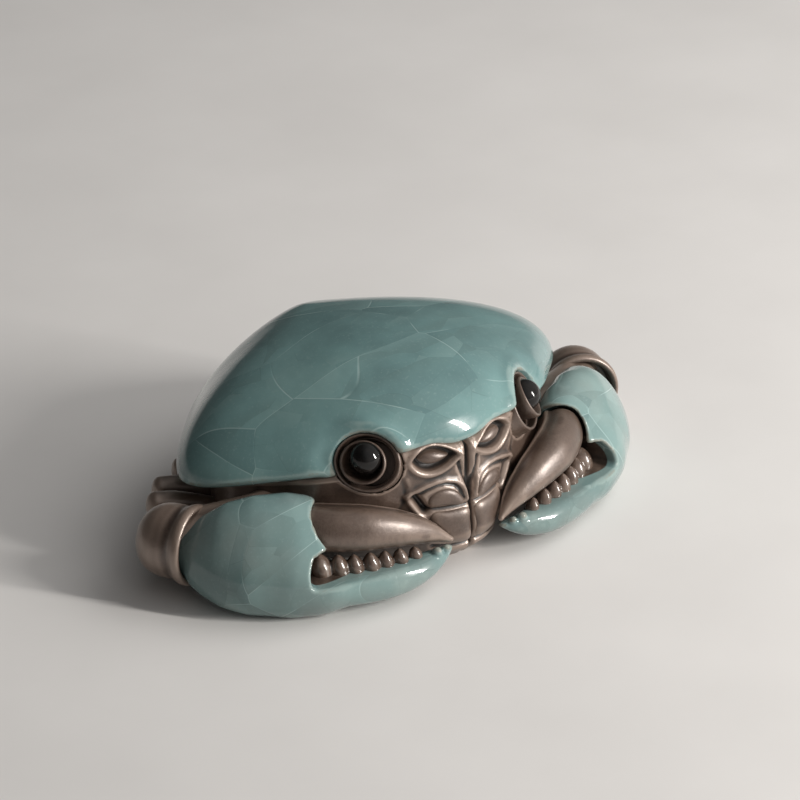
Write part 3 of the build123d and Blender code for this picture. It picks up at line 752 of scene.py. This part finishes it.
class Limb:
    """An oval limb along a smooth path, with its height leaning in towards the body."""

    def __init__(self, path, across, tall, cap_start, cap_end, lean=CLAW_LEAN, runs=18, square=2.0):
        path = np.array(path, float)
        gaps = np.linalg.norm(np.diff(path, axis=0), axis=1)
        spots = np.concatenate([[0], np.cumsum(gaps)]) / gaps.sum()
        self.curve = [np.polyfit(spots, path[:, k], len(path) - 1) for k in range(3)]
        self.slope = [np.polyder(curve) for curve in self.curve]
        self.across, self.tall, self.caps = across, tall, (cap_start, cap_end)
        self.lean, self.square = lean, square
        self.stations = self.at(np.linspace(0, 1, runs + 1))
        self.runs = runs

    def at(self, share):
        return np.stack([np.polyval(curve, share) for curve in self.curve], -1)

    def frame(self, share):
        along = np.stack([np.polyval(curve, share) for curve in self.slope], -1)
        along /= np.linalg.norm(along, axis=-1, keepdims=True)
        inward = np.stack([-along[..., 1], along[..., 0], 0 * along[..., 0]], -1)
        inward /= np.linalg.norm(inward, axis=-1, keepdims=True)
        upright = np.array([0, 0, math.cos(self.lean)]) + inward * math.sin(self.lean)
        upright -= along * (upright * along).sum(-1, keepdims=True)
        upright /= np.linalg.norm(upright, axis=-1, keepdims=True)
        return along, np.cross(upright, along), upright

    def spot(self, points):
        """The nearest share along the path, and the offsets along, across and up the limb there."""
        best = np.full(points.shape[:-1], 1e9)
        share = np.zeros(points.shape[:-1])
        for k in range(self.runs):
            start, run = self.stations[k], self.stations[k + 1] - self.stations[k]
            part = np.clip(((points - start) @ run) / (run @ run), 0, 1)
            gap = ((points - start - part[..., None] * run) ** 2).sum(-1)
            near = gap < best
            best = np.where(near, gap, best)
            share = np.where(near, (k + part) / self.runs, share)
        slope = np.stack([np.polyval(curve, share) for curve in self.slope], -1)
        nudge = ((points - self.at(share)) * slope).sum(-1) / (slope**2).sum(-1)
        share = np.clip(share + nudge.clip(-0.06, 0.06), 0, 1)
        offset = points - self.at(share)
        along, side, upright = self.frame(share)
        return share, (offset * along).sum(-1), (offset * side).sum(-1), (offset * upright).sum(-1)

    def __call__(self, points):
        share, on, side, up = self.spot(points)
        a, b = self.across(share), self.tall(share)
        c = np.where(share < 0.5, self.caps[0], self.caps[1])
        p = self.square
        size = (np.abs(side / a) ** p + np.abs(up / b) ** p + np.abs(on / c) ** p + 1e-9) ** (1 / p)
        pull = np.sqrt((side / a**2) ** 2 + (up / b**2) ** 2 + (on / c**2) ** 2) + 1e-6
        return (size - 1) * np.clip(size / pull, 0.2, 30)


def law(*stops):
    """A size that runs smoothly through (share, size) stops along a limb."""
    spots = np.array([stop[0] for stop in stops])
    sizes = np.array([stop[1] for stop in stops])
    fine = np.linspace(0, 1, 201)
    line = np.interp(fine, spots, sizes)
    for _ in range(60):
        line[1:-1] = 0.25 * line[:-2] + 0.5 * line[1:-1] + 0.25 * line[2:]
    return lambda share: np.interp(share, fine, line)


palm = Limb(
    [(-40.84, -6.58, 8.9), (-37.16, -12.4, 9.4), (-32.36, -16.21, 9.6), (-26.6, -19.2, 9.6)],
    law((0, 3.9), (0.25, 5.4), (0.6, 6.0), (0.85, 5.9), (1, 5.5)),
    law((0, 5.0), (0.25, 7.9), (0.5, 9.1), (0.8, 9.3), (1, 8.4)), 3.4, 5.0,
)
heel = Limb(
    [(-40.2, -10.2, 5.9), (-38.0, -14.6, 5.35), (-34.2, -18.2, 5.3), (-28.6, -21.6, 5.3)],
    law((0, 3.8), (0.4, 4.8), (1, 4.5)),
    law((0, 4.0), (0.4, 5.1), (1, 4.8)), 3.6, 4.0,
)
jaw = Limb(
    [(-30.5, -20.4, 5.6), (-18.95, -27.3, 4.15), (-10.03, -28.7, 4.8), (-5.6, -28.3, 6.2)],
    law((0, 5.0), (0.3, 4.2), (0.6, 3.35), (0.8, 2.4), (0.93, 1.4), (1, 0.7)),
    law((0, 4.8), (0.2, 4.0), (0.45, 3.4), (0.65, 2.9), (0.82, 2.1), (0.94, 1.2), (1, 0.6)), 4.0, 0.8,
)
finger = Limb(
    [(-25.5, -19.0, 12.45), (-15.34, -25.4, 11.65), (-8.54, -27.2, 9.15), (-5.5, -28.2, 7.45)],
    law((0, 3.8), (0.35, 3.8), (0.6, 3.1), (0.8, 2.1), (0.93, 1.1), (1, 0.55)),
    law((0, 3.8), (0.3, 3.65), (0.55, 3.0), (0.75, 2.15), (0.9, 1.2), (1, 0.5)), 2.4, 0.7, square=2.3,
)

GAPE_ROOT = np.array([-26.6, -19.2])
GAPE_WAY = np.array([0.919, -0.394])
GAPE_LONG = 23.1
LEDGE = 6.7
SOCKET_ROOM = 0.55
GLAZE_DROPS = ((0.865, 0.85), (0.94, 0.72))


def gape_run(points):
    """How far a point lies along the gape, from the root of the fingers towards their tips."""
    return (points[..., :2] - GAPE_ROOT) @ GAPE_WAY


def ledge_height(points):
    """The height of the ledge that the teeth stand on, climbing a little towards the tip."""
    return LEDGE + 0.2 * (np.clip(gape_run(points), 0, None) / GAPE_LONG) ** 2.2


def whole_hand(points):
    """The hand before its socket and gape are cut."""
    body = merge(palm(points), heel(points), 4.0)
    body = carve(body, 1.4 - gape_run(points), 2.2)
    return merge(body, jaw(points), 4.5)


def hand_form(points):
    """The hand with its gape cut, two drops of glaze near the tip, and the finger's socket."""
    run = gape_run(points)
    above = points[..., 2] - ledge_height(points)
    corner = 0.13 * (above - 1.6) ** 2 - 2.4 - run
    roof = points[..., 2] - np.interp(run, (-3, 0, 8.5, 17, 23), (10.6, 11.5, 11.5, 9.6, 7.6))
    gape = -merge(above, -np.maximum(roof, corner), 1.0)
    body = carve(whole_hand(points), gape, 0.6)
    for share, size in GLAZE_DROPS:
        drop = jaw.at(np.array(share)) + np.array([0.1, -0.7, 0])
        drop[2] = ledge_height(drop) - 0.1
        body = merge(body, np.linalg.norm(points - drop, axis=-1) - size, 0.5)
    return carve(body, finger(points) - SOCKET_ROOM, 0.6)


points, faces = cast(hand_form, (-46.5, -34.0, -0.2), (-4.2, -3.0, 20.5), 0.3)
points[:, 2] = np.maximum(points[:, 2], 0.02)
depth = -whole_hand(points)
hand_glaze = celadon("hand_glaze", 0.31, 0.26)
make_pair("palm", points, faces, hand_glaze, "celadon_glaze", 7, bare=step(depth, 1.5, 2.1))

# ---------------------------------------------------------------------------------------------
# Moving fingers. A horn of bare clay, rolled to a point, bent and luted into the socket of the palm,
# burnished along its back.
# ---------------------------------------------------------------------------------------------
def finger_form(points):
    """The horn with a scraped crest along the top of its back."""
    share, _, side, up = finger.spot(points)
    bend = np.arctan2(up / finger.tall(share), side / finger.across(share))
    return finger(points) - 0.40 * swell(bend - 1.35, 0.14) * step(share, 1.0, 0.85)


points, faces = cast(finger_form, (-29.0, -31.5, 6.0), (-4.4, -13.5, 17.8), 0.25)
make_pair("moving_finger", points, faces, clay, "bare_stoneware", 12)

# ---------------------------------------------------------------------------------------------
# Claw teeth. Rounded buds of clay, luted in a row on the ledge of each fixed finger, the largest at
# the root, with a little glaze run over them.
# ---------------------------------------------------------------------------------------------
# Each tooth as (share along the fixed finger, half width, height)
TEETH = (
    (0.145, 1.72, 3.4), (0.255, 1.45, 3.1), (0.350, 1.28, 2.9), (0.450, 1.28, 2.8),
    (0.542, 1.12, 2.6), (0.640, 1.10, 2.3), (0.745, 0.96, 1.75),
)
TOOTH_ROOT = 0.7


def teeth_form(points):
    """Signed distance to the row of teeth."""
    row = np.full(points.shape[:-1], 9.0)
    for share, wide, tall in TEETH:
        base = jaw.at(np.array(share))
        along, _, _ = jaw.frame(np.array(share))
        along = np.array([along[0], along[1], 0]) / math.hypot(along[0], along[1])
        out = np.array([along[1], -along[0], 0])
        base = base - out * 0.7
        base[2] = ledge_height(base) - TOOTH_ROOT
        offset = points - base
        up = offset[..., 2] / (tall + TOOTH_ROOT)
        a = np.abs(offset @ along + 0.35 * up * wide) / (wide + 0.22)
        b = np.abs(offset @ out) / (wide * 1.35)
        spread = (a**1.9 + b**1.9 + 0.02) ** (1 / 1.9)
        bud = (spread + np.clip(up, 0, None) ** 3.0 - 1) * wide * 0.75
        row = merge(row, np.maximum(bud, -offset[..., 2]), 0.35)
    return row


glossed, add = new_material("glossed_stoneware")
place = add("ShaderNodeTexCoord").outputs["Object"]
hollow = add("ShaderNodeAttribute", attribute_name="hollow").outputs["Fac"]
stain = noise(add, place, 520.0, 4.0)
tone = ramp(add, stain, (0.32, (0.075, 0.048, 0.035)), (0.70, (0.170, 0.122, 0.096)))
# Near black in the hollows between the teeth: a real dark stain, with painted shade laid over it.
tone = mixed(add, fade(add, hollow, 0.0, 0.10, 0.0, 0.92), tone, (0.010, 0.006, 0.004, 1.0))
# Paler on the ridges of the teeth: a painted highlight.
tone = mixed(add, fade(add, hollow, -0.05, -0.22, 0.0, 0.75), tone, (0.340, 0.285, 0.245, 1.0))
bump = add("ShaderNodeBump", {"Strength": 0.18, "Distance": 0.0003, "Height": stain})
polish = fade(add, stain, 0.3, 0.7, 0.18, 0.34)
skin = add("ShaderNodeBsdfPrincipled", {"Base Color": tone, "Roughness": polish, "Normal": bump.outputs[0]})
skin.inputs["Coat Weight"].default_value = 0.9
skin.inputs["Coat Roughness"].default_value = 0.09
add("ShaderNodeOutputMaterial", {"Surface": skin.outputs[0]})
points, faces = cast(teeth_form, (-31.5, -33.0, 5.4), (-8.0, -19.5, 11.2), 0.16)
make_pair("claw_teeth", points, faces, glossed, "bare_stoneware", 8)

# ---------------------------------------------------------------------------------------------
# Wrists. A thrown cap of bare clay behind each palm, with a rolled rim that the neck of the palm is
# luted into.
# ---------------------------------------------------------------------------------------------
wrist_foot = np.array([-42.6, -2.6, 8.6])
wrist_way = palm.at(np.array(0.1)) - wrist_foot
cap = rounded([
    (0.02, -5.9), (2.5, -5.65), (4.3, -4.75), (5.5, -3.3), (6.08, -1.6), (6.2, 0.2),
    (6.15, 1.7), (6.55, 2.7), (6.78, 3.5), (6.62, 4.3), (6.15, 4.55), (5.7, 4.2),
    (5.5, 3.4), (5.35, 2.6), (4.9, 2.2), (3.0, 2.0), (0.02, 2.0),
], 6)
points, faces = turned(cap, wrist_foot, wrist_way)
make_pair("wrist", points, faces, clay, "bare_stoneware", 10)

# ---------------------------------------------------------------------------------------------
# Arms and legs. Rolled coils of bare clay, pinched flat and bent at the knee, luted under the rim of
# the carapace and tucked close to the body, the last pair flattened into paddles.
# ---------------------------------------------------------------------------------------------
arm = Limb(
    [(-26.5, -8.0, 11.0), (-33.0, -8.6, 11.2), (-38.0, -6.2, 10.6), (-42.6, -3.4, 9.8)],
    law((0, 3.6), (0.5, 3.9), (1, 3.2)),
    law((0, 4.6), (0.5, 4.4), (1, 4.2)), 2.0, 2.0, lean=0.25, square=2.6,
)
points, faces = cast(arm, (-46.0, -14.0, 4.5), (-23.5, 1.5, 17.0), 0.4)
points[:, 2] = np.minimum(points[:, 2], seat_height(points[:, 1]) - 0.15)
make_pair("arm", points, faces, clay, "bare_stoneware", 12)

# Each right leg from front to back, as its hip, knee, foot and height at the knee
LEGS = (
    ((-29.0, 3.2, 6.4), (-39.4, 7.0, 9.6), (-33.4, 13.7, 0.9), 5.0),
    ((-26.5, 8.6, 6.4), (-34.4, 12.6, 8.0), (-27.3, 18.1, 0.9), 5.0),
    ((-20.4, 13.6, 6.4), (-26.8, 17.6, 6.6), (-18.7, 21.4, 0.9), 5.0),
    ((-15.0, 20.0, 6.4), (-18.4, 24.2, 4.6), (-9.4, 24.5, 0.95), 6.0),
)
for number, (hip, knee, foot, tall) in enumerate(LEGS, start=1):
    hip, knee, foot = np.array(hip), np.array(knee), np.array(foot)
    thigh = Limb(
        [hip, (hip + knee) / 2 + np.array([0, 0, 0.3]), knee],
        law((0, 1.8), (0.7, 2.0), (1, 1.9)),
        law((0, tall * 0.42), (0.75, tall * 0.5), (1, tall * 0.46)), 2.0, 1.6, lean=0.0, square=2.4,
    )
    shin = Limb(
        [knee, knee + (foot - knee) * np.array([0.5, 0.5, 0.45]), foot],
        law((0, 1.6), (0.4, 1.5), (0.8, 0.9), (1, 0.45)),
        law((0, tall * 0.40), (0.35, tall * 0.38), (0.8, tall * 0.2), (1, 0.45)),
        1.5, 0.45, lean=0.0, square=2.2,
    )

    def leg_form(points):
        """Thigh and shin run together, with a scored line below the knee."""
        seam = np.linalg.norm(points - (knee + (foot - knee) * 0.16), axis=-1) - tall * 0.46
        return merge(thigh(points), shin(points), 0.5) + 0.16 * swell(seam, 0.28)

    corners = np.array([hip, knee, foot])
    points, faces = cast(leg_form, corners.min(0) - 3.6, corners.max(0) + 3.6, 0.3)
    points[:, 2] = np.maximum(points[:, 2], 0.05)
    points[:, 2] = np.minimum(points[:, 2], seat_height(points[:, 1]) - 0.1)
    make_pair(f"leg_{number}", points, faces, clay, "bare_stoneware", 10)

# ---------------------------------------------------------------------------------------------
# Table, light and camera. A pale matt table under soft studio light from the crab's left front, seen
# from its right front and a little above.
# ---------------------------------------------------------------------------------------------
table, add = new_material("pale_table")
place = add("ShaderNodeTexCoord").outputs["Object"]
fleck = noise(add, place, 30.0, 4.0)
tone = ramp(add, fleck, (0.3, (0.69, 0.675, 0.66)), (0.7, (0.73, 0.715, 0.70)))
skin = add("ShaderNodeBsdfPrincipled", {"Base Color": tone, "Roughness": 0.7})
skin.inputs["Specular IOR Level"].default_value = 0.0
add("ShaderNodeOutputMaterial", {"Surface": skin.outputs[0]})
mesh = bpy.data.meshes.new("table")
mesh.from_pydata([(-3, -3, 0), (3, -3, 0), (3, 3, 0), (-3, 3, 0)], [], [(0, 1, 2, 3)])
mesh.materials.append(table)
floor = bpy.data.objects.new("table", mesh)
bpy.context.scene.collection.objects.link(floor)

world = bpy.data.worlds.new("studio")
world.use_nodes = True
tree = world.node_tree
around = tree.nodes.new("ShaderNodeTexCoord")
facing = tree.nodes.new("ShaderNodeVectorMath")
facing.operation = "DOT_PRODUCT"
facing.inputs[1].default_value = Vector((0.60, -0.65, 0.45)).normalized()
glow = tree.nodes.new("ShaderNodeMapRange")
glow.interpolation_type = "SMOOTHERSTEP"
glow.inputs["From Min"].default_value = -0.20
glow.inputs["From Max"].default_value = 1.0
glow.inputs["To Min"].default_value = 0.05
glow.inputs["To Max"].default_value = 0.50
tree.links.new(around.outputs["Generated"], facing.inputs[0])
tree.links.new(facing.outputs["Value"], glow.inputs["Value"])
tree.links.new(glow.outputs[0], tree.nodes["Background"].inputs["Strength"])
tree.nodes["Background"].inputs["Color"].default_value = (1.0, 0.985, 0.97, 1.0)
bpy.context.scene.world = world


def softbox(name, spot, size, power, colour, mirrored=True):
    """A soft studio lamp aimed at the crab, with or without its own image in glossy surfaces."""
    lamp = bpy.data.lights.new(name, "AREA")
    lamp.shape = "RECTANGLE"
    lamp.size, lamp.size_y = size
    lamp.energy = power
    lamp.color = colour
    holder = bpy.data.objects.new(name, lamp)
    holder.location = spot
    holder.rotation_euler = (Vector((0, 0, 0.015)) - Vector(spot)).to_track_quat("-Z", "Y").to_euler()
    holder.visible_glossy = mirrored
    bpy.context.scene.collection.objects.link(holder)


softbox("window", (0.33, -0.51, 0.25), (0.030, 0.30), 4.4, (1.0, 0.97, 0.93))
softbox("diffuser", (0.30, -0.12, 0.34), (0.36, 0.30), 0.85, (1.0, 0.98, 0.96), mirrored=False)

lens = bpy.data.cameras.new("camera")
lens.lens = 193.5
lens.sensor_width = 36.0
lens.clip_start = 0.01
camera = bpy.data.objects.new("camera", lens)
target = Vector((-0.01407, -0.026, 0.0357))
camera.location = target + 0.688 * Vector((-0.5319, -0.6834, 0.5))
camera.rotation_euler = (target - camera.location).to_track_quat("-Z", "Y").to_euler()
bpy.context.scene.collection.objects.link(camera)
bpy.context.scene.camera = camera
bpy.context.scene.view_settings.view_transform = "Standard"
